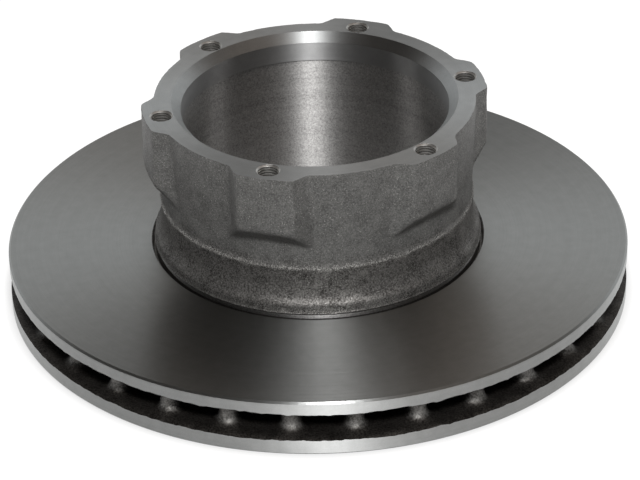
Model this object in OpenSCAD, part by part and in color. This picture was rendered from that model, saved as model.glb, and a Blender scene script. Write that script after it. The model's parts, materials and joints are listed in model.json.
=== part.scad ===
// Vented brake disc with a tall hat.
// One iron casting: a friction ring of two plates joined by rows of round posts,
// a long neck that rises from the ring, and a hat rim whose six bosses carry the
// threaded holes. Machined where it must be true, left as cast elsewhere.
// The ring's hidden face lies on z = 0, the axis is Z and a hole lies on +X.

/* [Friction ring] */
// Outer diameter of the friction ring
ring_d = 322; // [306:1:340]
// Thickness over both friction faces
ring_t = 30; // [27:0.5:34]
// Thickness of the plate on the hat's side
hat_plate_t = 8; // [6:0.5:10]
// Thickness of the plate on the hidden side
far_plate_t = 9; // [6:0.5:10]
// Inner diameter of the plate on the hidden side, where the air comes in
far_plate_bore_d = 192; // [186:1:200]
// Chamfer on the outer edges of the two friction faces
rim_chamfer = 1; // [0.5:0.1:1.5]

/* [Vent posts] */
// Number of posts in each row
post_count = 30; // [24:1:32]
// Number of rows of posts between the rim and the air inlet
post_rows = 3; // [1:1:3]
// Distance from the rim in to the centres of the outer row
post_rim_inset = 12; // [9:0.5:14]
// Distance from the air inlet out to the centres of the inner row
post_inlet_inset = 13; // [10:0.5:15]
// Diameter of a post between its fillets
post_d = 10; // [8:0.5:11]
// Fillet where a post meets a plate
post_fillet = 3; // [1:0.25:3]
// Turn of the cast posts against the drilled holes, in degrees
post_turn = -0.6; // [-6:0.1:6]

/* [Hat] */
// Height from the hidden friction face to the mounting face
disc_h = 110; // [104:1:120]
// Outer diameter of the hat rim between two bosses
rim_d = 164.6; // [163:0.2:167]
// Outer diameter of the neck
neck_d = 160.8; // [159.6:0.2:161.6]
// Height of the casting seam above the hat's friction face
seam_h = 26; // [22:0.5:30]
// Step of the surface at the casting seam
seam_step = 0.4; // [0.2:0.1:0.6]
// Height above the hat's friction face at which the flare ends
flare_h = 17; // [15:0.5:20]
// Radius of the flare at the foot of the neck
flare_r = 18; // [14:1:22]
// Outer diameter of the turned foot of the neck
foot_d = 167.5; // [166:0.1:168]
// How far the root of the neck hangs below the hat's plate, inside the vents
root_drop = 4.5; // [2:0.5:6]
// Outer diameter of the neck's root
root_d = 186; // [182:1:188]

/* [Relief groove] */
// Width of the groove between the neck's foot and the friction face
groove_w = 2.5; // [2:0.1:3]
// Depth of the groove below the friction face
groove_depth = 5; // [3:0.5:6]

/* [Bore] */
// Diameter of the finely turned register
register_d = 137; // [134:0.5:137.5]
// Depth of the register below the mounting face
register_depth = 15; // [10:0.5:25]
// Step from the register out to the rougher, relieved bore below it
bore_relief = 1; // [0.8:0.1:1.5]
// Chamfer at the mouth of the bore
bore_chamfer = 4.6; // [3:0.1:4.8]
// Chamfer at the hidden end of the bore
bore_foot_chamfer = 1.5; // [0.5:0.5:3]

/* [Bosses] */
// Number of bosses, each with one threaded hole
boss_count = 6; // [4:1:6]
// Diameter over the bosses' outer faces
boss_d = 177; // [175:0.5:180]
// Width of a boss across its outer face
boss_w = 29.8; // [27:0.2:32]
// Lean of a boss's flanks from the radial direction, in degrees
flank_lean = 35; // [25:1:40]
// Fillet between a flank and the hat rim
flank_fillet = 4; // [2:0.5:5]
// Height of a boss's outer face
boss_face_h = 31; // [28:0.5:33]
// Rounding under a boss's outer face
boss_round = 3; // [1:0.5:4]
// Fillet between a boss's sloping underside and the neck
underside_fillet = 5; // [2:0.5:6]
// Chamfer on the top edge of a boss's outer face
boss_chamfer = 0.5; // [0.3:0.1:0.8]

/* [Threaded holes] */
// Diameter of the circle through the holes
hole_circle_d = 159; // [158.6:0.2:159.8]
// Nominal diameter of the thread
thread_d = 12; // [10:1:12]
// Pitch of the thread
thread_pitch = 1.5; // [1.25:0.25:1.75]
// Depth of a hole to the end of its full diameter
hole_depth = 24; // [18:1:25]
// Point angle of the drill at the bottom of a hole
drill_angle = 118; // [90:1:140]

/* [Hidden] */
$fn = 180;

ring_r = ring_d / 2;
far_plate_bore_r = far_plate_bore_d / 2;
vent_floor_z = far_plate_t;
vent_top_z = ring_t - hat_plate_t;
vent_h = vent_top_z - vent_floor_z;
// How far a shape runs on into the one it grows from
tuck = 0.5;
// How far a cutter or a blank runs past the surface that it ends at
clear = 3;

post_r = post_d / 2;
post_reach = post_r + post_fillet;
post_pitch = 360 / post_count;
outer_row_r = ring_r - post_rim_inset;
inner_row_r = far_plate_bore_r + post_inlet_inset;
row_step = post_rows > 1 ? (outer_row_r - inner_row_r) / (post_rows - 1) : 0;

rim_r = rim_d / 2;
neck_r = neck_d / 2;
foot_r = foot_d / 2;
root_r = root_d / 2;
root_z = vent_top_z - root_drop;
seam_z = ring_t + seam_h;
flare_top_z = ring_t + flare_h;
// The seam's lower side stands out from the neck by the step
neck_low_r = neck_r + seam_step;
// Height at which the flare has come out to the foot's radius
flare_end_z = flare_top_z - sqrt(pow(flare_r, 2) - pow(flare_r - (foot_r - neck_low_r), 2));
groove_outer_r = foot_r + groove_w;
groove_floor_z = ring_t - groove_depth;
// Small broken edge at the mouth of the groove
groove_edge = 0.4;

register_r = register_d / 2;
rough_bore_r = register_r + bore_relief;
register_end_z = disc_h - register_depth;

boss_r = boss_d / 2;
hole_circle_r = hole_circle_d / 2;
// Height at which the neck's wall starts to widen towards the hat rim
boss_end_z = disc_h - boss_face_h - (boss_r - neck_r);
// Radii in the middle of the wall, at its top and down on the neck, where the bosses take root
boss_root_top_r = (register_r + bore_chamfer + rim_r) / 2;
boss_root_low_r = (rough_bore_r + neck_r) / 2;
thread_r = thread_d / 2;
// Radius of the thread's core, where the hole is drilled
core_r = thread_r - 0.54 * thread_pitch;
drill_point_h = core_r / tan(drill_angle / 2);

// Flats in an arc of a boss, and in the smaller fillet of a post
boss_flats = 5;
post_flats = 2;

// Points along an arc from one angle to another, both ends included
function arc(centre, r, from, to, flats) = [
    for (i = [0 : flats])
        let (angle = from + (to - from) * i / flats)
            centre + r * [cos(angle), sin(angle)]
];

// Cross-sections, drawn as radius across and height up

// Plate on the hidden side, chamfered at all four edges
module far_plate_section() {
    polygon([
        [far_plate_bore_r + rim_chamfer, 0],
        [ring_r - rim_chamfer, 0],
        [ring_r, rim_chamfer],
        [ring_r, vent_floor_z],
        [far_plate_bore_r + rim_chamfer, vent_floor_z],
        [far_plate_bore_r, vent_floor_z - rim_chamfer],
        [far_plate_bore_r, rim_chamfer]
    ]);
}

// Plate on the hat's side, with the thicker root of the neck below it
module hat_plate_section() {
    polygon([
        [rough_bore_r + bore_foot_chamfer, root_z],
        [root_r - root_drop, root_z],
        [root_r, vent_top_z],
        [ring_r, vent_top_z],
        [ring_r, ring_t - rim_chamfer],
        [ring_r - rim_chamfer, ring_t],
        [rough_bore_r, ring_t],
        [rough_bore_r, root_z + bore_foot_chamfer]
    ]);
}

// Neck and hat rim, from the ring up to the mounting face
module neck_section() {
    polygon([
        [rough_bore_r, root_z + bore_foot_chamfer],
        [foot_r, root_z + bore_foot_chamfer],
        [foot_r, flare_end_z],
        [neck_low_r, flare_end_z],
        [neck_low_r, seam_z],
        [neck_r, seam_z],
        [neck_r, boss_end_z],
        [rim_r, disc_h],
        [register_r + bore_chamfer, disc_h],
        [register_r, disc_h - bore_chamfer],
        [register_r, register_end_z],
        [rough_bore_r, register_end_z]
    ]);
    // Curved flare from the foot up to the neck
    difference() {
        translate([neck_low_r - tuck, flare_end_z - tuck])
            square([foot_r - neck_low_r + tuck, flare_top_z - flare_end_z + tuck]);
        translate([neck_low_r + flare_r, flare_top_z])
            circle(flare_r);
    }
}

// Groove with a round bottom and a broken outer edge
module groove_section() {
    groove_mid_r = foot_r + groove_w / 2;
    translate([groove_mid_r, groove_floor_z + groove_w / 2])
        circle(groove_w / 2);
    translate([foot_r, groove_floor_z + groove_w / 2])
        square([groove_w, groove_depth]);
    polygon([
        [groove_mid_r, ring_t + groove_edge],
        [groove_mid_r, ring_t - groove_edge],
        [groove_outer_r, ring_t - groove_edge],
        [groove_outer_r + 2 * groove_edge, ring_t + groove_edge]
    ]);
}

// Wall of the bosses: upright face, rounded lower edge, sloping underside
module boss_section() {
    slope = 45;
    face_end_z = disc_h - boss_face_h;
    round_reach = boss_round * tan(slope / 2);
    round_c = [boss_r - boss_round, face_end_z + round_reach];
    fillet_reach = underside_fillet * tan(slope / 2);
    fillet_c = [neck_r + underside_fillet, boss_end_z - fillet_reach];
    polygon(concat(
        [[boss_root_top_r, disc_h], [boss_r - boss_chamfer, disc_h], [boss_r, disc_h - boss_chamfer]],
        arc(round_c, boss_round, 0, -slope, boss_flats),
        arc(fillet_c, underside_fillet, 180 - slope, 180, boss_flats),
        [[boss_root_low_r, fillet_c[1]]]
    ));
}

// Plan of one boss on +X: leaning flanks with a fillet where they meet the rim
module boss_plan() {
    half_w = boss_w / 2;
    face_x = sqrt(boss_r * boss_r - half_w * half_w);
    outer_x = boss_r + clear;
    // The fillet runs out just inside the neck's wall
    wall_r = neck_r - tuck;
    along = [-cos(flank_lean), sin(flank_lean)];
    outward = [sin(flank_lean), cos(flank_lean)];
    start = [face_x, half_w] + flank_fillet * outward;
    start_along = start * along;
    reach = wall_r + flank_fillet;
    run = -start_along - sqrt(start_along * start_along - start * start + reach * reach);
    fillet_c = start + run * along;
    wall_angle = atan2(fillet_c[1], fillet_c[0]);
    flank = concat(
        [[outer_x, half_w - (outer_x - face_x) * tan(flank_lean)]],
        arc(fillet_c, flank_fillet, 270 - flank_lean, 180 + wall_angle, boss_flats),
        [rough_bore_r * [cos(wall_angle), sin(wall_angle)]]
    );
    last = len(flank) - 1;
    polygon(concat(flank, [for (i = [0 : last]) [flank[last - i][0], -flank[last - i][1]]]));
}

// Solids

// Two plates, neck and hat rim, turned as one body
module turned_body() {
    rotate_extrude()
        far_plate_section();
    rotate_extrude()
        difference() {
            union() {
                hat_plate_section();
                neck_section();
            }
            groove_section();
        }
}

// One round post with a fillet at each plate
module vent_post() {
    $fn = 48;
    low_fillet_c = [post_reach, vent_floor_z + post_fillet];
    high_fillet_c = [post_reach, vent_top_z - post_fillet];
    rotate_extrude()
        polygon(concat(
            [[0, vent_floor_z - tuck], [post_reach, vent_floor_z - tuck]],
            arc(low_fillet_c, post_fillet, 270, 180, post_flats),
            arc(high_fillet_c, post_fillet, 180, 90, post_flats),
            [[post_reach, vent_top_z + tuck], [0, vent_top_z + tuck]]
        ));
}

// Rows of posts, each row turned by half a pitch against the last
module vent_posts() {
    for (row = [0 : post_rows - 1])
        for (i = [0 : post_count - 1])
            rotate([0, 0, post_turn + (i + row / 2) * post_pitch])
                translate([outer_row_r - row * row_step, 0, 0])
                    vent_post();
}

// Bosses round the hat rim
module bosses() {
    intersection() {
        rotate_extrude()
            boss_section();
        linear_extrude(disc_h)
            for (i = [0 : boss_count - 1])
                rotate(i * 360 / boss_count)
                    boss_plan();
    }
}

// One blind hole, at the thread's core diameter, with a countersunk mouth
module threaded_hole() {
    mouth_h = thread_r - core_r;
    floor_z = disc_h - hole_depth;
    rotate_extrude()
        polygon([
            [0, floor_z - drill_point_h],
            [core_r, floor_z],
            [core_r, disc_h - mouth_h],
            [core_r + 2 * mouth_h, disc_h + mouth_h],
            [0, disc_h + mouth_h]
        ]);
}

module brake_disc() {
    color("dimgray")
        difference() {
            union() {
                turned_body();
                vent_posts();
                bosses();
            }
            for (i = [0 : boss_count - 1])
                rotate([0, 0, i * 360 / boss_count])
                    translate([hole_circle_r, 0, 0])
                        threaded_hole();
        }
}

brake_disc();
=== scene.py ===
# %% [markdown]
# # A vented brake disc, cast and then machined
# The disc is one grey-iron casting. The foundry moulds it rough in sand, and a lathe and a drill
# then cut only the surfaces that must be true. This lesson works in the same order: a rough blank
# with a sandy skin is modelled first, and cutters then take the machined surfaces out of it. The
# ragged border between a bright turned face and a dark cast skin comes by itself that way, as it
# does in the workshop, and it would be hard to draw by hand.

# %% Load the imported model
import json
from math import cos, hypot, pi, radians, sin, sqrt, tan

import bpy
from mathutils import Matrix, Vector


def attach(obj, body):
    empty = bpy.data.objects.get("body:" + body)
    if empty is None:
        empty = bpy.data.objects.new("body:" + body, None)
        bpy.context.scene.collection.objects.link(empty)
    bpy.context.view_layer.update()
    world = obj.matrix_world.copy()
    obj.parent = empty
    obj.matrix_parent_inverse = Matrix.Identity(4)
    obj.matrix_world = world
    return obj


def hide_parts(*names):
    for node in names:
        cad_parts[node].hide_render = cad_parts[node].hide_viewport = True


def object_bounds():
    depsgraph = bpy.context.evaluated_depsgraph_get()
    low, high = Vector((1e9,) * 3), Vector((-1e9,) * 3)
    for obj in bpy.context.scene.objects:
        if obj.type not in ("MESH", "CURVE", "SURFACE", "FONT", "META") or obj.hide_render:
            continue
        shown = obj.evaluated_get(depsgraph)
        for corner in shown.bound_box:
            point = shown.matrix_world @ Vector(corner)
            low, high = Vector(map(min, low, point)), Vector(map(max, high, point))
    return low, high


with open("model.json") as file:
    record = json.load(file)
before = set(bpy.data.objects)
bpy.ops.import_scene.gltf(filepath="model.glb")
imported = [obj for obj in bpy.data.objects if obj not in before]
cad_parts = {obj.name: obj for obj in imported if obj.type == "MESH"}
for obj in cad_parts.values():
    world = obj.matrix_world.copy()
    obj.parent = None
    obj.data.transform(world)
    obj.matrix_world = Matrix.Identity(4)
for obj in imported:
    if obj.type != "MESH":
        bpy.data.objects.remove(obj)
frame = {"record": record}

MM = 0.001
cad_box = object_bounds()
cad_low, cad_high = [tuple(corner) for corner in cad_box]
print("box of the solid disc, in mm:", [round(v / MM, 2) for v in cad_low + cad_high])

# %% [markdown]
# ## The camera
# The photograph was taken with a long lens from about 31 degrees above the friction face. A hole
# of the hat lies on +X here, and in the picture it has turned by 12.8 degrees, so the camera
# stands that much to one side. It could be placed by eye, but a camera fitted to points on the
# rims and holes is right to a pixel or two. It comes first, because every later choice is judged
# through it. The Standard view shows each colour about as it is written.

# %% Camera at the photograph's angle
scene = bpy.context.scene
scene.view_settings.view_transform = 'Standard'
FRAME_W = 640
FOCAL_PX = 3058.9
SENSOR_W = 36.0
AIM_OUT_MM = 1.02
AIM_UP_MM = 24.7
turn = radians(-12.83)
elevation = radians(30.744)
distance = 1599.2 * MM
roll = radians(-1.312)
aim = (AIM_OUT_MM * cos(turn) * MM, AIM_OUT_MM * sin(turn) * MM, AIM_UP_MM * MM)

camera_data = bpy.data.cameras.new("camera")
camera_data.sensor_fit = 'HORIZONTAL'
camera_data.sensor_width = SENSOR_W
camera_data.lens = FOCAL_PX / FRAME_W * SENSOR_W
camera_data.clip_end = 50.0
camera = bpy.data.objects.new("camera", camera_data)
scene.collection.objects.link(camera)
camera.location = (
    aim[0] + distance * cos(elevation) * sin(turn),
    aim[1] - distance * cos(elevation) * cos(turn),
    aim[2] + distance * sin(elevation),
)
camera.rotation_mode = 'XYZ'
camera.rotation_euler = (pi / 2 - elevation, 0.0, turn)
camera.rotation_euler.rotate_axis('Z', roll)
scene.camera = camera
print("camera at", [round(v, 3) for v in camera.location], "lens", round(camera_data.lens, 1), "mm")

# %% [markdown]
# ## Sizes
# The true sizes are read from the solid disc: its box gives the ring's radius and the height, and
# its mounts give the bore and the circle of the holes. They could be typed in again, but a size
# that is written twice is soon wrong once. The rest are sizes of the rough casting and its cuts.

# %% Sizes of the finished disc
mounts = {mount["name"]: mount for mount in frame["record"]["mounts"]}
ring_r = cad_high[0]
disc_h = cad_high[2]
ring_t = mounts["hat_side_friction_face"]["pos_m"][2]
register_r = mounts["register"]["dims"]["r_mm"] * MM
core_r = mounts["hub_bolts"]["dims"]["hole_r_mm"] * MM
hole_circle_r = mounts["hub_bolts"]["dims"]["pcd_mm"] / 2 * MM
hole_count = mounts["hub_bolts"]["dims"]["count"]

register_depth = 15 * MM
rough_bore_r = register_r + 1.0 * MM
bore_chamfer = 4.6 * MM
rim_chamfer = 1.0 * MM
groove_inner_r = 83.75 * MM
groove_w = 2.5 * MM
groove_depth = 5.0 * MM
inlet_r = 96.0 * MM
vent_floor = 9.0 * MM
vent_top = 22.0 * MM
print("ring radius", round(ring_r / MM, 2), "height", round(disc_h / MM, 2), "mm")

# %% [markdown]
# ## Turned shapes
# Most of this disc is the same all the way round. It could be stacked from cylinders and cones,
# but each slope and fillet would then be a piece of its own. A turner's drawing shows half the
# cross-section instead, so a helper draws that outline and spins it once round the axis. The
# outline starts as a single point, which is extruded from corner to corner until it is closed.

# %% Helpers that draw a cross-section and spin it
TINY = MM / 1000


def draw_section(name, outline):
    """Draws a closed outline of (radius, height) corners and leaves it in edit mode."""
    bpy.ops.object.select_all(action='DESELECT')
    bpy.ops.mesh.primitive_plane_add(size=MM, location=(0, 0, 0))
    piece = bpy.context.object
    piece.name = piece.data.name = name
    bpy.ops.object.mode_set(mode='EDIT')
    bpy.ops.mesh.merge(type='CENTER')
    bpy.ops.transform.translate(value=(outline[0][0], 0, outline[0][1]))
    for (r0, z0), (r1, z1) in zip(outline, outline[1:] + outline[:1]):
        bpy.ops.mesh.extrude_region_move(TRANSFORM_OT_translate={"value": (r1 - r0, 0, z1 - z0)})
    bpy.ops.mesh.select_all(action='SELECT')
    bpy.ops.mesh.remove_doubles(threshold=TINY)
    bpy.ops.mesh.select_all(action='SELECT')
    return piece


def spun(name, outline, steps):
    """Spins a closed outline of (radius, height) corners once round the axis."""
    piece = draw_section(name, outline)
    bpy.ops.mesh.spin(
        steps=steps, angle=2 * pi, center=(0, 0, 0), axis=(0, 0, 1), use_auto_merge=True
    )
    bpy.ops.mesh.select_all(action='SELECT')
    bpy.ops.mesh.remove_doubles(threshold=TINY)
    bpy.ops.mesh.normals_make_consistent(inside=False)
    bpy.ops.object.mode_set(mode='OBJECT')
    return piece


# %% Helpers for arcs and for counting
def arc(centre, r, start, end, flats):
    """Corners along an arc of the cross-section, both ends included, angles in degrees."""
    angles = [radians(start + (end - start) * i / flats) for i in range(flats + 1)]
    return [(centre[0] + r * cos(a), centre[1] + r * sin(a)) for a in angles]


def report(piece, what):
    print(what + ":", len(piece.data.polygons), "faces,", len(piece.data.vertices), "points")


# %% [markdown]
# ## The hat's pattern
# The pattern for the mould is a turned shape with six bosses set round its top. The neck flares
# towards the ring, and a ridge runs round it where the two halves of the mould met. The ridge
# could be a thin ring laid round the neck, but as a corner of the outline it grows out of the
# wall, as it does in the sand. The rough bore is smaller and the top is higher than on the
# finished part, because foundries leave a few millimetres of stock wherever a tool will cut.

# %% Neck and hat rim, as one spun blank
BLANK_STEPS = 128
stock = 1.5 * MM
blank_bore_r = 65 * MM
neck_r = 80.4 * MM
neck_top_r = 82.3 * MM
neck_widens_z = 72 * MM
seam_z = 56 * MM
seam_ridge = 1.1 * MM
seam_half_h = 0.8 * MM
lower_neck_r = neck_r + 0.4 * MM
flare_r = 18 * MM
flare_top_z = 47 * MM
flare_end = 213
lip_r = 84.6 * MM
lip_wall_top_z = 37 * MM
root_r = 93 * MM
root_outline = [
    (blank_bore_r, 13 * MM),
    (66 * MM, 12 * MM),
    (88 * MM, 17.5 * MM),
    (root_r, 22.5 * MM),
    (root_r, ring_t + MM),
]

hat = spun("hat", [
    *root_outline,
    (lip_r, ring_t + MM),
    (lip_r, lip_wall_top_z),
    *arc((lower_neck_r + flare_r, flare_top_z), flare_r, flare_end, 180, 6),
    (lower_neck_r, seam_z - seam_half_h),
    (neck_r + seam_ridge, seam_z),
    (neck_r, seam_z + seam_half_h),
    (neck_r, neck_widens_z),
    (neck_top_r, disc_h + stock),
    (blank_bore_r, disc_h + stock),
], BLANK_STEPS)
report(hat, "hat blank")

# %% [markdown]
# Each boss is a pad of iron round one threaded hole. Its outer face follows a circle, its flanks
# lean inwards so that the pattern leaves the sand, and its underside slopes at 45 degrees. A box
# could be bent into that form, but a cylinder of the outer radius already has the face, so it is
# cut down to one boss by four bisecting planes.

# %% One boss, bisected from a cylinder
BOSS_SIDES = 96
boss_r = 88.5 * MM
boss_w = 29.8 * MM
boss_root_r = 74 * MM
flank_lean = radians(35)
boss_face_end_z = 79 * MM
boss_blank_h = 60 * MM
face_x = sqrt(boss_r ** 2 - (boss_w / 2) ** 2)
half_right = sqrt(0.5)

bpy.ops.object.select_all(action='DESELECT')
bpy.ops.mesh.primitive_cylinder_add(
    vertices=BOSS_SIDES, radius=boss_r, depth=boss_blank_h,
    location=(0, 0, disc_h + stock - boss_blank_h / 2),
)
boss = bpy.context.object
boss.name = "boss"
bpy.ops.object.transform_apply(location=True, rotation=True, scale=True)
boss_cuts = [
    ((face_x, boss_w / 2, 0), (sin(flank_lean), cos(flank_lean), 0)),
    ((face_x, -boss_w / 2, 0), (sin(flank_lean), -cos(flank_lean), 0)),
    ((boss_root_r, 0, 0), (-1, 0, 0)),
    ((boss_r, 0, boss_face_end_z), (half_right, 0, -half_right)),
]
bpy.ops.object.mode_set(mode='EDIT')
for place, normal in boss_cuts:
    bpy.ops.mesh.select_all(action='SELECT')
    bpy.ops.mesh.bisect(plane_co=place, plane_no=normal, use_fill=True, clear_outer=True)
bpy.ops.object.mode_set(mode='OBJECT')
report(boss, "one boss")

# %% [markdown]
# The boss is copied round the rim, and each copy gets a mesh of its own. The operators work on
# whatever is selected, so a helper first picks the piece that is meant, and nothing else.

# %% Six bosses on the rim
def pick(piece, others=()):
    """Selects a piece and makes it the active one, with any others beside it."""
    bpy.ops.object.select_all(action='DESELECT')
    for each in (piece, *others):
        each.select_set(True)
    bpy.context.view_layer.objects.active = piece


def own_copy(piece):
    """A copy of the piece that has its own mesh."""
    copy = piece.copy()
    copy.data = piece.data.copy()
    scene.collection.objects.link(copy)
    return copy


bosses = [boss]
for i in range(1, hole_count):
    copy = own_copy(boss)
    copy.rotation_euler = (0, 0, 2 * pi * i / hole_count)
    bosses.append(copy)
pick(hat, bosses)
bpy.ops.object.transform_apply(location=False, rotation=True, scale=False)
bpy.ops.object.join()
report(hat, "hat with bosses")

# %% [markdown]
# ## The sandy skin
# Iron takes the print of the sand, so no cast edge is sharp and no cast face is smooth. Bump in
# the material could give the grain, but its edges would stay straight. Here a voxel remesh melts
# the bosses and the neck into one skin, a light smoothing rounds their meetings as the pattern's
# fillets do, and two displacements raise the sand's grain and a slow waviness. The relief is real
# geometry, so that the cutters will later meet it raggedly.

# %% Remesh, round and roughen a blank
swell_height = 0.8 * MM


def finish_step(piece, kind, **settings):
    """Adds a modifier to the piece and applies it, so that a plain mesh is left."""
    pick(piece)
    modifier = piece.modifiers.new(kind.lower(), kind)
    for name, value in settings.items():
        setattr(modifier, name, value)
    bpy.ops.object.modifier_apply(modifier=modifier.name)


def sand_texture(name, size):
    texture = bpy.data.textures.new(name, 'CLOUDS')
    texture.noise_scale = size
    texture.noise_depth = 2
    return texture


grain = sand_texture("sand grain", 3.5 * MM)
swell = sand_texture("mould waviness", 40 * MM)


def cast_skin(blank, voxel, rounding, grain_height):
    finish_step(blank, 'REMESH', mode='VOXEL', voxel_size=voxel, use_smooth_shade=True)
    finish_step(blank, 'SMOOTH', factor=0.5, iterations=rounding)
    for texture, relief in ((grain, grain_height), (swell, swell_height)):
        finish_step(
            blank, 'DISPLACE', texture=texture, texture_coords='LOCAL',
            strength=relief, mid_level=0.5,
        )


cast_skin(hat, voxel=1.4 * MM, rounding=3, grain_height=0.4 * MM)
report(hat, "cast hat")

# %% [markdown]
# ## The vented ring
# Two plates carry the brake pads, and three staggered rows of thirty round posts hold them apart
# and pump air outwards. The plates could be one ring with the gap cut out round each post, but a
# short cylinder for a post is simpler, and the remesh blends its ends into the plates as the
# fillets of the core box do. The rows are cast in a sand core that isn't aligned with the drilled
# holes, which the slight turn shows.

# %% Two plates
overcast = 2 * MM
plate_inner_r = 90 * MM
inlet_slope = 2 * MM

hat_plate = spun("hat plate", [
    (plate_inner_r, vent_top),
    (ring_r + overcast, vent_top),
    (ring_r + overcast, ring_t + stock),
    (plate_inner_r, ring_t + stock),
], BLANK_STEPS)
far_plate = spun("far plate", [
    (inlet_r, -stock),
    (ring_r + overcast, -stock),
    (ring_r + overcast, vent_floor),
    (inlet_r + inlet_slope, vent_floor),
    (inlet_r, vent_floor - inlet_slope),
], BLANK_STEPS)
report(hat_plate, "plate on the hat's side")
report(far_plate, "far plate")

# %% Three rows of posts between them
POST_SIDES = 16
post_rows = (149 * MM, 129 * MM, 109 * MM)
post_count = 30
post_r = 5 * MM
post_turn = radians(-0.6)
post_h = vent_top - vent_floor + 2 * MM

bpy.ops.object.select_all(action='DESELECT')
bpy.ops.mesh.primitive_cylinder_add(
    vertices=POST_SIDES, radius=post_r, depth=post_h,
    location=(0, 0, (vent_floor + vent_top) / 2),
)
post = bpy.context.object
bpy.ops.object.transform_apply(location=True, rotation=True, scale=True)
posts = []
for row, row_r in enumerate(post_rows):
    for i in range(post_count):
        angle = post_turn + (i + row / 2) * 2 * pi / post_count
        copy = own_copy(post)
        copy.location = (row_r * cos(angle), row_r * sin(angle), 0)
        posts.append(copy)
bpy.data.objects.remove(post)

pick(hat_plate, [far_plate, *posts])
bpy.ops.object.join()
ring = bpy.context.object
ring.name = "cast ring"
cast_skin(ring, voxel=2.4 * MM, rounding=7, grain_height=1.2 * MM)
report(ring, "cast ring")

# %% [markdown]
# ## One casting
# Ring and hat are poured in one go, so the two skins are united into one closed mesh. A Boolean
# union keeps every bump of both, where another remesh would wash them out.

# %% Unite ring and hat
def boolean(piece, tool, operation):
    """Unites a tool with the piece or cuts it away, and removes the tool."""
    before = len(piece.data.polygons)
    finish_step(piece, 'BOOLEAN', object=tool, operation=operation, solver='MANIFOLD')
    print(tool.name, operation.lower(), before, "faces before,", len(piece.data.polygons), "after")
    bpy.data.objects.remove(tool)


disc = hat
disc.name = disc.data.name = "machined_casting"
boolean(disc, ring, 'UNION')

# %% [markdown]
# ## Turning
# The lathe now works round the part, and each cut is a simple ring that is taken away. All the
# cuts could be one cutter, but a Boolean is quick and clean only with a plain ring, so each tool
# path stays by itself. The first bores the hat with its register and chamfer and faces its top.

# %% Cut of the bore and the hat's face
beyond = 6 * MM
bore_foot_z = 17.5 * MM
bore_foot_chamfer = 1.5 * MM
outside_hat_r = 100 * MM
inside_bore_r = 55 * MM

turned_cuts = {
    "bore and face": [
        (rough_bore_r + bore_foot_chamfer, bore_foot_z - beyond),
        (rough_bore_r + bore_foot_chamfer, bore_foot_z),
        (rough_bore_r, bore_foot_z + bore_foot_chamfer),
        (rough_bore_r, disc_h - register_depth),
        (register_r, disc_h - register_depth),
        (register_r, disc_h - bore_chamfer),
        (register_r + bore_chamfer, disc_h),
        (outside_hat_r, disc_h),
        (outside_hat_r, disc_h + beyond),
        (inside_bore_r, disc_h + beyond),
        (inside_bore_r, bore_foot_z - beyond),
    ],
}
print("corners of the bore's cut:", len(turned_cuts["bore and face"]))

# %% [markdown]
# The friction face ends in a narrow relief groove at the neck's foot. The groove's inner wall
# shaves the root of the neck, leans back a little above the face and runs out raggedly in the
# rough skin. It could be a cut of its own, but two cutters that share an edge leave slivers there.

# %% Cut of the friction face and the relief groove
outside_r = ring_r + 9 * MM
lip_root = MM
lip_h = 1.3 * MM
lip_flare = 0.6 * MM
lip_run_out = 3.5 * MM
groove_corner = 0.4 * MM
groove_floor_r = groove_w / 2

turned_cuts["hat side face"] = [
    (outside_r, ring_t + beyond),
    (groove_inner_r + lip_run_out, ring_t + beyond),
    (groove_inner_r + lip_flare, ring_t + lip_h),
    (groove_inner_r, ring_t - lip_root),
    (groove_inner_r, ring_t - groove_depth + groove_floor_r),
    *arc(
        (groove_inner_r + groove_floor_r, ring_t - groove_depth + groove_floor_r),
        groove_floor_r, 180, 360, 8,
    )[1:],
    (groove_inner_r + groove_w, ring_t - groove_corner),
    (groove_inner_r + groove_w + groove_corner, ring_t),
    (outside_r, ring_t),
]
print("groove", round(groove_w / MM, 2), "mm wide and", round(groove_depth / MM, 2), "mm deep")

# %% [markdown]
# The far face, the rim and the broken corners are plain rings of three or four corners each. A
# bevel could break the corners, but it would also round the edges of the cast posts and vents.

# %% Cuts of the far face, the rim and the corners
turned_cuts.update({
    "far face": [
        (outside_r, -beyond),
        (outside_r, 0),
        (plate_inner_r, 0),
        (plate_inner_r, -beyond),
    ],
    "rim": [
        (outside_r, ring_t + beyond),
        (ring_r, ring_t + beyond),
        (ring_r, -beyond),
        (outside_r, -beyond),
    ],
    "upper rim corner": [
        (ring_r + beyond, ring_t + beyond),
        (ring_r - rim_chamfer - beyond, ring_t + beyond),
        (ring_r + beyond, ring_t - rim_chamfer - beyond),
    ],
    "lower rim corner": [
        (ring_r + beyond, -beyond),
        (ring_r + beyond, rim_chamfer + beyond),
        (ring_r - rim_chamfer - beyond, -beyond),
    ],
    "inlet corner": [
        (inlet_r - beyond, -beyond),
        (inlet_r + rim_chamfer + beyond, -beyond),
        (inlet_r - beyond, rim_chamfer + beyond),
    ],
})

TURNED_STEPS = 256
for name, outline in turned_cuts.items():
    boolean(disc, spun(name, outline, TURNED_STEPS), 'DIFFERENCE')
report(disc, "turned disc")

# %% [markdown]
# ## Drilling and tapping
# The six holes are drilled blind, countersunk and tapped. The drill leaves a cone at the bottom.
# The holes could be cut one by one, but six drills joined into one tool need a single Boolean.

# %% Six drilled holes
DRILL_SIDES = 40
DRILL_POINT_SLOPE = 1.66
thread_r = 6.0 * MM
hole_depth = 24 * MM
drill_point_h = core_r / DRILL_POINT_SLOPE
mouth = thread_r - core_r
hole_axes = [
    (hole_circle_r * cos(2 * pi * i / hole_count), hole_circle_r * sin(2 * pi * i / hole_count))
    for i in range(hole_count)
]


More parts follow.
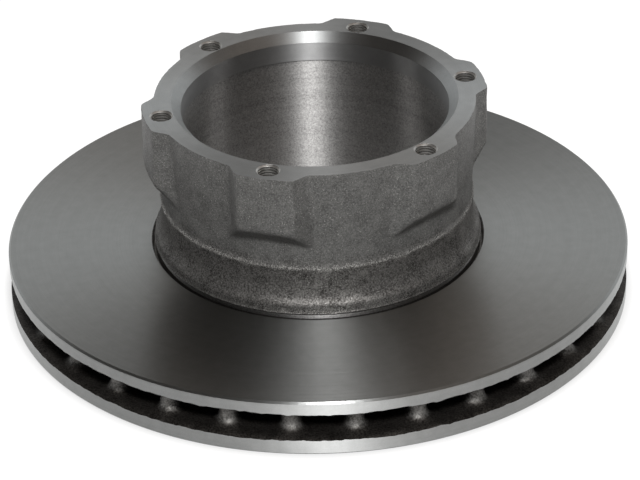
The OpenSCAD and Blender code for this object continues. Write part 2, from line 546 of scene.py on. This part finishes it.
def set_of_tools(tool):
    """Moves a tool onto a hole's axis, copies it to every hole and joins the copies."""
    tools = [tool] + [own_copy(tool) for _ in hole_axes[1:]]
    for piece, (x, y) in zip(tools, hole_axes):
        piece.location = (x, y, 0)
    pick(tool, tools)
    bpy.ops.object.transform_apply(location=True, rotation=True, scale=True)
    bpy.ops.object.join()
    return bpy.context.object


drill = spun("drill", [
    (0, disc_h - hole_depth - drill_point_h),
    (core_r, disc_h - hole_depth),
    (core_r, disc_h - mouth),
    (core_r + 2 * mouth, disc_h + mouth),
    (0, disc_h + mouth),
], DRILL_SIDES)
boolean(disc, set_of_tools(drill), 'DIFFERENCE')

# %% [markdown]
# A tap cuts a V-shaped groove that climbs one pitch a turn. Rings stacked in the hole, or a bump,
# could stand for it, but the eye catches the thread's start at the mouth. So the cutter is a V
# that the Screw modifier winds up, with its two ends filled.

# %% Six taps
THREAD_STEPS = 20
thread_turns = 13
thread_pitch = 1.5 * MM
crest = 0.09 * MM
inside = core_r - 0.15 * MM
half_root = crest + (thread_r - inside) * tan(radians(30))
start_z = disc_h + MM - thread_turns * thread_pitch

tap = draw_section("tap", [
    (inside, start_z - half_root),
    (thread_r, start_z - crest),
    (thread_r, start_z + crest),
    (inside, start_z + half_root),
])
bpy.ops.object.mode_set(mode='OBJECT')
finish_step(
    tap, 'SCREW', axis='Z', angle=2 * pi, screw_offset=thread_pitch, iterations=thread_turns,
    steps=THREAD_STEPS, render_steps=THREAD_STEPS, use_merge_vertices=False,
)
bpy.ops.object.mode_set(mode='EDIT')
bpy.ops.mesh.select_all(action='SELECT')
bpy.ops.mesh.fill_holes(sides=4)
bpy.ops.mesh.select_all(action='SELECT')
bpy.ops.mesh.normals_make_consistent(inside=False)
bpy.ops.object.mode_set(mode='OBJECT')
boolean(disc, set_of_tools(tap), 'DIFFERENCE')
report(disc, "tapped disc")

# %% [markdown]
# ## Finishes
# A finish is a small tree of shader nodes. It could be wired by hand in the shader editor, but
# this disc has eight that share most of their nodes, so a few helpers add and link them. Noise
# that reads the point's own place on the disc needs no UV map, and it stays put on the metal.

# %% Node helpers
def add_node(tree, kind, inputs=(), **settings):
    """Adds a shader node. Inputs are (name or number, value or socket) pairs."""
    made = tree.nodes.new(kind)
    for name, value in settings.items():
        setattr(made, name, value)
    for name, value in inputs:
        if isinstance(value, bpy.types.NodeSocket):
            tree.links.new(value, made.inputs[name])
        else:
            made.inputs[name].default_value = value
    return made


def math_node(tree, operation, *values):
    return add_node(tree, 'ShaderNodeMath', enumerate(values), operation=operation).outputs[0]


def vector_node(tree, operation, *values):
    return add_node(tree, 'ShaderNodeVectorMath', enumerate(values), operation=operation).outputs


def new_finish(name):
    """A material with its tree and shader, and the place of a point on the disc."""
    material = bpy.data.materials.new(name)
    material.use_nodes = True
    tree = material.node_tree
    place = add_node(tree, 'ShaderNodeTexCoord').outputs['Object']
    return material, tree, tree.nodes['Principled BSDF'], place


# %% Helpers for noise, ranges and colours
def noise(tree, place, size, detail=3.0, rough=0.55, dimensions='3D'):
    """Noise from 0 to 1 with blots of about the given size."""
    place_input = 'W' if dimensions == '1D' else 'Vector'
    return add_node(
        tree, 'ShaderNodeTexNoise',
        [(place_input, place), ('Scale', 1 / size), ('Detail', detail), ('Roughness', rough)],
        noise_dimensions=dimensions,
    ).outputs[0]


def spread(tree, value, low, high, out_low, out_high):
    """Maps a value from one range to another, held at both ends."""
    return add_node(
        tree, 'ShaderNodeMapRange',
        [(0, value), (1, low), (2, high), (3, out_low), (4, out_high)],
    ).outputs[0]


def mix_colours(tree, factor, first, second):
    """Goes from the first colour to the second, each a socket or red, green and blue."""
    first, second = [
        (*colour, 1.0) if isinstance(colour, tuple) else colour for colour in (first, second)
    ]
    return add_node(
        tree, 'ShaderNodeMix', [(0, factor), (6, first), (7, second)], data_type='RGBA'
    ).outputs[2]


# %% [markdown]
# ## Turned metal
# A turned face isn't a plain mirror. The tool leaves fine grooves round the axis, and a lamp's
# glint is drawn out across them, so light and dark fans stand on the face like the hands of a
# clock. Thousands of real grooves could do it, but they would be far too fine for a mesh. The
# shader does it with its anisotropy, if its tangent points across the grooves: that is the
# direction at right angles to both the surface and the way round.
#
# The ring marks follow the distance from the axis plus the height, so that the same nodes draw
# circles on a flat face, on a bore and on a chamfer. Grey iron also holds flakes of graphite,
# which give every cut face a faint mottle.

# %% Helper for the ring marks
def ring_marks(tree, place, mark_size):
    """Fine and wide noise that runs in circles round the axis."""
    x, y, z = add_node(tree, 'ShaderNodeSeparateXYZ', [(0, place)]).outputs
    from_axis = math_node(
        tree, 'SQRT',
        math_node(
            tree, 'ADD',
            math_node(tree, 'MULTIPLY', x, x), math_node(tree, 'MULTIPLY', y, y),
        ),
    )
    across = math_node(tree, 'ADD', from_axis, z)
    fine_marks = noise(tree, across, mark_size, detail=4.0, dimensions='1D')
    wide_marks = noise(tree, across, 6 * mark_size, detail=1.0, dimensions='1D')
    return fine_marks, wide_marks


# %% Helper for a turned finish
RING_SHARE = 0.1
BLOT_SHARE = 0.5 - RING_SHARE / 2
GLOSS_SWING = 0.04
speck_size = 0.5 * MM


def turned_finish(
    name, dark, light, gloss, anisotropy, mark_size, mark_height, mottle_size=6 * MM
):
    material, tree, shader, place = new_finish(name)
    marks, wide_marks = ring_marks(tree, place, mark_size)
    mottle = noise(tree, place, mottle_size)
    speck = noise(tree, place, speck_size, detail=2.0)
    tone = math_node(tree, 'MULTIPLY', mottle, BLOT_SHARE)
    tone = math_node(tree, 'MULTIPLY_ADD', wide_marks, RING_SHARE, tone)
    tone = math_node(tree, 'MULTIPLY_ADD', speck, BLOT_SHARE, tone)
    tone = spread(tree, tone, 0.35, 0.65, 0.0, 1.0)
    roughness = spread(tree, marks, 0.3, 0.7, gloss - GLOSS_SWING, gloss + GLOSS_SWING)

    normal = add_node(tree, 'ShaderNodeNewGeometry').outputs['Normal']
    way_round = vector_node(tree, 'CROSS_PRODUCT', (0, 0, 1), place)[0]
    over_grooves = vector_node(tree, 'CROSS_PRODUCT', normal, way_round)[0]
    tangent = vector_node(tree, 'NORMALIZE', over_grooves)[0]
    bump = add_node(
        tree, 'ShaderNodeBump',
        [('Height', marks), ('Strength', 0.4), ('Distance', mark_height)],
    ).outputs[0]

    tree.links.new(mix_colours(tree, tone, dark, light), shader.inputs['Base Color'])
    tree.links.new(roughness, shader.inputs['Roughness'])
    tree.links.new(tangent, shader.inputs['Tangent'])
    tree.links.new(bump, shader.inputs['Normal'])
    shader.inputs['Metallic'].default_value = 1.0
    shader.inputs['Anisotropic'].default_value = anisotropy
    print(name, "has a gloss of", gloss, "and marks of", round(mark_size / MM, 2), "mm")
    return material


# %% [markdown]
# Each cut has its own colour, gloss and marks. One finish for all could be told to vary, but a
# turner changes speed and tool between the cuts too. The friction faces and the hat's face are
# turned fine and dark, the rim is paler, the register is the finest, and the rough bore below it
# glitters with specks that are drawn out the most.

# %% Finishes of the ring
friction_finish = turned_finish(
    "turned_friction_face", dark=(0.228, 0.233, 0.230), light=(0.260, 0.265, 0.262),
    gloss=0.40, anisotropy=0.9, mark_size=0.8 * MM, mark_height=0.004 * MM,
)
rim_finish = turned_finish(
    "turned_rim", dark=(0.40, 0.405, 0.40), light=(0.47, 0.475, 0.47),
    gloss=0.54, anisotropy=0.9, mark_size=0.7 * MM, mark_height=0.005 * MM,
)
# The groove's colour is darker than the other turned faces: painted shade in its deep, narrow slot,
# over real turned marks.
groove_finish_with_painted_shade = turned_finish(
    "turned_groove", dark=(0.10, 0.095, 0.09), light=(0.22, 0.21, 0.20),
    gloss=0.40, anisotropy=0.5, mark_size=0.9 * MM, mark_height=0.02 * MM,
    mottle_size=1.1 * MM,
)

# %% Finishes of the hat
facing_finish = turned_finish(
    "faced_hat", dark=(0.27, 0.275, 0.275), light=(0.32, 0.325, 0.325),
    gloss=0.42, anisotropy=0.8, mark_size=0.6 * MM, mark_height=0.004 * MM,
)
register_finish = turned_finish(
    "fine_turned_register", dark=(0.34, 0.34, 0.34), light=(0.40, 0.40, 0.40),
    gloss=0.46, anisotropy=0.9, mark_size=0.5 * MM, mark_height=0.004 * MM,
)
bore_finish = turned_finish(
    "rough_turned_bore", dark=(0.24, 0.235, 0.23), light=(0.58, 0.57, 0.56),
    gloss=0.46, anisotropy=0.92, mark_size=0.9 * MM, mark_height=0.012 * MM,
    mottle_size=1.1 * MM,
)
thread_finish = turned_finish(
    "cut_thread", dark=(0.38, 0.375, 0.36), light=(0.50, 0.49, 0.475),
    gloss=0.44, anisotropy=0.0, mark_size=0.5 * MM, mark_height=0.01 * MM,
)

# %% [markdown]
# ## As-cast iron
# Cast iron leaves the mould with a crust of burnt sand and oxide. Above the mould's seam it is a
# matt grey. Below the seam it is darker and has a dull metal sheen. On the plates inside the vents
# the crust is painted nearly black, as painted shade in the deep vents. The posts between them are
# paler again. Each zone could be a material of its own, but a hard border would show, so one
# material follows the height, and noise makes the border at the seam ragged.

# %% Zones of the crust
cast_finish, tree, shader, place = new_finish("cast_skin")
coarse = noise(tree, place, 9 * MM, detail=4.0)
sand = noise(tree, place, 0.9 * MM, detail=2.0, rough=0.6)
fine = noise(tree, place, 0.55 * MM, detail=2.0, rough=0.6)
height = add_node(tree, 'ShaderNodeSeparateXYZ', [(0, place)]).outputs[2]
ragged_height = math_node(tree, 'MULTIPLY_ADD', coarse, 6 * MM, height)
# Below this height, on the floor of the vents, the crust is painted dark as shade.
above_painted_vent_shade = spread(tree, height, vent_floor + MM, vent_floor + 3 * MM, 0.0, 1.0)
above_vents = spread(tree, height, vent_top, ring_t, 0.0, 1.0)
above_seam = spread(tree, ragged_height, seam_z + 1 * MM, seam_z + 9 * MM, 0.0, 1.0)

crust_tone = math_node(tree, 'MULTIPLY_ADD', coarse, 0.5, sand)
crust_tone = spread(tree, crust_tone, 0.55, 0.95, 0.0, 1.0)
# The plates' colours are painted shade, which draws the floor of the deep vents nearly black.
zones = {
    "plates": ((0.014, 0.012, 0.011), (0.065, 0.060, 0.055)),
    "posts": ((0.07, 0.067, 0.062), (0.25, 0.243, 0.233)),
    "below the seam": ((0.040, 0.037, 0.035), (0.22, 0.213, 0.204)),
    "above the seam": ((0.090, 0.089, 0.086), (0.185, 0.183, 0.177)),
}
crusts = [mix_colours(tree, crust_tone, dark, light) for dark, light in zones.values()]
crust = crusts[0]
for share, next_crust in zip((above_painted_vent_shade, above_vents, above_seam), crusts[1:]):
    crust = mix_colours(tree, share, crust, next_crust)
print("zones of the crust:", ", ".join(zones))

# %% [markdown]
# Where the sand's grains broke away, bare metal glints in the crust. There is more of it along
# the seam, where the flash was ground off, and along the ragged lip that the groove's cut left.
# Single grains could be scattered as geometry, but at half a millimetre noise does as well.

# %% Bare grains and relief of the skin
grain_metal = (0.42, 0.41, 0.39)
seam_offset = math_node(
    tree, 'ABSOLUTE', math_node(tree, 'SUBTRACT', ragged_height, seam_z + 3 * MM)
)
at_seam = spread(tree, seam_offset, 0.0, 2.2 * MM, 0.17, 0.0)
at_lip = spread(tree, height, ring_t + 3 * MM, ring_t + 7 * MM, 0.10, 0.0)
knocked_off = math_node(tree, 'MAXIMUM', at_seam, at_lip)
bare_grain = spread(tree, math_node(tree, 'ADD', fine, knocked_off), 0.62, 0.72, 0.0, 1.0)
bare_grain = math_node(tree, 'MULTIPLY', bare_grain, above_vents)

grain_colour = mix_colours(tree, bare_grain, crust, grain_metal)
metal = math_node(tree, 'MAXIMUM', spread(tree, above_seam, 0.0, 1.0, 0.85, 0.55), bare_grain)
dullness = spread(tree, above_vents, 0.0, 1.0, 0.55, 0.52)
dullness = math_node(tree, 'MULTIPLY_ADD', bare_grain, -0.12, dullness)
sand_relief = add_node(
    tree, 'ShaderNodeBump', [('Height', sand), ('Strength', 0.7), ('Distance', 0.18 * MM)]
).outputs[0]
fine_relief = add_node(
    tree, 'ShaderNodeBump',
    [('Height', fine), ('Strength', 0.6), ('Distance', 0.1 * MM), ('Normal', sand_relief)],
).outputs[0]
tree.links.new(grain_colour, shader.inputs['Base Color'])
tree.links.new(metal, shader.inputs['Metallic'])
tree.links.new(dullness, shader.inputs['Roughness'])
tree.links.new(fine_relief, shader.inputs['Normal'])
shader.inputs['Specular IOR Level'].default_value = 0.15
print("finishes:", ", ".join(sorted(material.name for material in bpy.data.materials)))

# %% [markdown]
# ## Which face has which finish
# The faces could be picked by hand in edit mode, but there are more than eighty thousand. The
# cutters left faces that lie exactly on the sizes of the drawing, and the sandy skin hardly ever
# does. So each face is asked where its corners lie, and it gets the finish of the cut that made
# it. What no cut made is cast.

# %% The list of finishes
NEAR = 0.03 * MM
FINISHES = (
    cast_finish, friction_finish, rim_finish, facing_finish, register_finish, bore_finish,
    thread_finish, groove_finish_with_painted_shade,
)
CAST, FRICTION, RIM, FACING, REGISTER, BORE, THREAD, GROOVE = range(len(FINISHES))
print("finishes to give:", len(FINISHES))


def all_near(values, target):
    return all(abs(value - target) < NEAR for value in values)


# %% Faces that the ring's cuts left
lip_slope = lip_flare / (lip_h + lip_root)


def finish_of_ring(radii, heights):
    """The finish of a face of the ring, or None if no cut of the ring made it."""
    if all_near(heights, ring_t) or all_near(heights, 0):
        return FRICTION
    if all_near(radii, ring_r):
        return RIM
    on_corner = min(heights) > ring_t - rim_chamfer - NEAR or max(heights) < rim_chamfer + NEAR
    if on_corner and max(heights) < ring_t + beyond and min(radii) > ring_r - rim_chamfer - NEAR:
        return FRICTION
    if all_near([r + z for r, z in zip(radii, heights)], inlet_r + rim_chamfer):
        return FRICTION
    in_groove = min(radii) > groove_inner_r - NEAR and max(radii) < groove_inner_r + groove_w + MM
    below_face = max(heights) < ring_t - lip_root + NEAR
    if in_groove and below_face and min(heights) > ring_t - groove_depth - MM:
        return GROOVE
    from_lip = [
        r - groove_inner_r - (z - ring_t + lip_root) * lip_slope for r, z in zip(radii, heights)
    ]
    if all_near(from_lip, 0) and max(heights) < ring_t + beyond:
        return BORE
    return None


# %% Faces that the hat's cuts and the holes left
hole_reach = thread_r + 0.3 * MM


def finish_of_hat(radii, heights):
    """The finish of a face of the hat, or None if no cut of the hat made it."""
    if all_near(heights, disc_h):
        return FACING
    if all_near(radii, register_r):
        return REGISTER
    if all_near([r - z for r, z in zip(radii, heights)], register_r - (disc_h - bore_chamfer)):
        return FACING
    if max(radii) < rough_bore_r + bore_foot_chamfer + NEAR:
        return BORE
    return None


def in_a_hole(corners):
    """Whether the middle of a face lies in one of the six holes."""
    middle = sum(corners, corners[0] * 0) / len(corners)
    if middle.z < disc_h - hole_depth - drill_point_h - MM:
        return False
    return any(hypot(middle.x - x, middle.y - y) < hole_reach for x, y in hole_axes)


# %% Give each face its finish
def finish_of(corners):
    """The finish of a face, told by the radii and heights of its corners."""
    radii = [hypot(corner.x, corner.y) for corner in corners]
    heights = [corner.z for corner in corners]
    for finish in (finish_of_hat(radii, heights), finish_of_ring(radii, heights)):
        if finish is not None:
            return finish
    return THREAD if in_a_hole(corners) else CAST


SQUARE_CM = 1e-4
mesh = disc.data
mesh.materials.clear()
for material in FINISHES:
    mesh.materials.append(material)
for face in mesh.polygons:
    face.material_index = finish_of([mesh.vertices[i].co for i in face.vertices])
for number, material in enumerate(FINISHES):
    area = sum(face.area for face in mesh.polygons if face.material_index == number)
    print(material.name, "covers", round(area / SQUARE_CM, 1), "square cm")

# %% [markdown]
# A cut edge is a sharp one. Sharpness could go by angle alone, but where a cut runs out in the
# rough skin the two often meet at a small angle, and the bright face would blend into the sand.
# So the disc is smoothed by angle, and each edge between two finishes is marked sharp as well.

# %% Mark the borders sharp and smooth the rest
SMOOTH_BELOW = radians(40)
edge_finishes = {}
for face in mesh.polygons:
    for loop in face.loop_indices:
        edge_finishes.setdefault(mesh.loops[loop].edge_index, set()).add(face.material_index)
borders = [index for index, finishes in edge_finishes.items() if len(finishes) > 1]
pick(disc)
bpy.ops.object.shade_smooth_by_angle(angle=SMOOTH_BELOW, keep_sharp_edges=True)
for index in borders:
    mesh.edges[index].use_edge_sharp = True
print("sharp borders:", len(borders), "edges")

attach(disc, "root")
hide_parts("brake_disc")

# %% [markdown]
# ## The floor
# The disc lies on a pale floor that shows white to the camera and in reflections. A white floor
# could do that by itself, but it would throw light up under the hat and flatten its shading. So
# its own colour is low, and a glow that only the camera and reflections see makes up the rest.
# The glow fades towards the disc as a painted shadow, and the disc's real shadow stays as well.

# %% Pale floor
FLOOR_SIZE = 24
FLOOR_GREY = (0.25, 0.25, 0.25, 1.0)
bpy.ops.object.select_all(action='DESELECT')
bpy.ops.mesh.primitive_plane_add(size=FLOOR_SIZE, location=(0, 0, 0))
floor = bpy.context.object
floor.name = "floor"

floor_material, tree, floor_shader, floor_place = new_finish("pale_floor")
floor_shader.inputs['Base Color'].default_value = FLOOR_GREY
floor_shader.inputs['Roughness'].default_value = 0.9
floor_shader.inputs['Specular IOR Level'].default_value = 0.0
floor.data.materials.append(floor_material)
print("floor", FLOOR_SIZE, "m wide")

# %% Glow that the camera and reflections see
OPEN_GLOW = 0.9
PAINTED_SHADOW_GLOW = 0.12
path = add_node(tree, 'ShaderNodeLightPath').outputs
seen = math_node(tree, 'MAXIMUM', path['Is Camera Ray'], path['Is Glossy Ray'])
seen = math_node(tree, 'MAXIMUM', seen, path['Is Transmission Ray'])
from_disc = vector_node(tree, 'LENGTH', floor_place)[1]
# The glow is low under the disc and rises just past its rim: a painted shadow, also seen through
# the bore.
glow_with_painted_shadow = spread(
    tree, from_disc, ring_r - 12 * MM, ring_r + 6 * MM, PAINTED_SHADOW_GLOW, OPEN_GLOW
)
glow = add_node(
    tree, 'ShaderNodeEmission',
    [('Color', (1.0, 1.0, 1.0, 1.0)), ('Strength', math_node(tree, 'MULTIPLY', seen, glow_with_painted_shadow))],
).outputs[0]
both = add_node(tree, 'ShaderNodeAddShader', [(0, floor_shader.outputs[0]), (1, glow)]).outputs[0]
tree.links.new(both, tree.nodes['Material Output'].inputs['Surface'])
print("floor glow", PAINTED_SHADOW_GLOW, "under the disc and", OPEN_GLOW, "beyond")

# %% [markdown]
# ## The room
# Bright metal shows the room more than itself. A picture of a studio could be wrapped round the
# scene, but a few nodes say plainly what each direction does. Behind the disc stands a bright
# wall, which the turned faces mirror at their back. At the sides and in front the room is dark,
# and so is the ceiling on the left, which draws the dark fans beside the neck.

# %% Walls and ceiling
world = bpy.data.worlds.new("room")
scene.world = world
world.use_nodes = True
tree = world.node_tree
direction = add_node(tree, 'ShaderNodeTexCoord').outputs['Generated']


def along(towards):
    """How far a direction of the room points towards the given one, from -1 to 1."""
    return vector_node(tree, 'DOT_PRODUCT', direction, towards)[1]


up = add_node(tree, 'ShaderNodeSeparateXYZ', [(0, direction)]).outputs[2]
rightwards = along((cos(turn), sin(turn), 0.0))
backwards = along((-sin(turn), cos(turn), 0.0))
back_wall = spread(tree, backwards, 0.1, 0.6, 0.04, 1.0)
brighter_right = spread(tree, rightwards, -1.0, 1.0, 0.9, 1.15)
wall_level = math_node(tree, 'MULTIPLY', back_wall, brighter_right)
ceiling_level = spread(tree, rightwards, -0.15, 0.4, 0.08, 0.44)
ceiling_share = spread(tree, up, 0.45, 0.80, 0.0, 1.0)
room_level = add_node(
    tree, 'ShaderNodeMix', [(0, ceiling_share), (2, wall_level), (3, ceiling_level)],
    data_type='FLOAT',
).outputs[0]
room_colour = mix_colours(tree, ceiling_share, (0.97, 1.0, 1.01), (1.0, 0.84, 0.72))
background = tree.nodes['Background']
tree.links.new(room_level, background.inputs['Strength'])
tree.links.new(room_colour, background.inputs['Color'])
print("nodes in the room:", len(tree.nodes))

# %% [markdown]
# ## The lamp
# One small square lamp stands above the camera, as a flash does. It draws the bright fan on the
# ring in front of the neck, the streak in the bore and the shine on the rim. A large soft lamp
# would be kinder to the cast skin, but its glints would fill the whole face.

# %% One lamp near the camera
def add_lamp(name, side, forward, height, size, power):
    """A soft square lamp aimed at the disc, placed in metres as the camera sees the room."""
    data = bpy.data.lights.new(name, 'AREA')
    data.shape = 'SQUARE'
    data.size = size
    data.energy = power
    lamp = bpy.data.objects.new(name, data)
    scene.collection.objects.link(lamp)
    lamp.location = (
        side * cos(turn) + forward * sin(turn), side * sin(turn) - forward * cos(turn), height
    )
    lamp.rotation_euler = (-lamp.location).to_track_quat('-Z', 'Y').to_euler()
    print(name, "at", [round(v, 2) for v in lamp.location], "with", power, "W")


add_lamp("front lamp", side=0.06, forward=1.1, height=1.06, size=0.22, power=19)
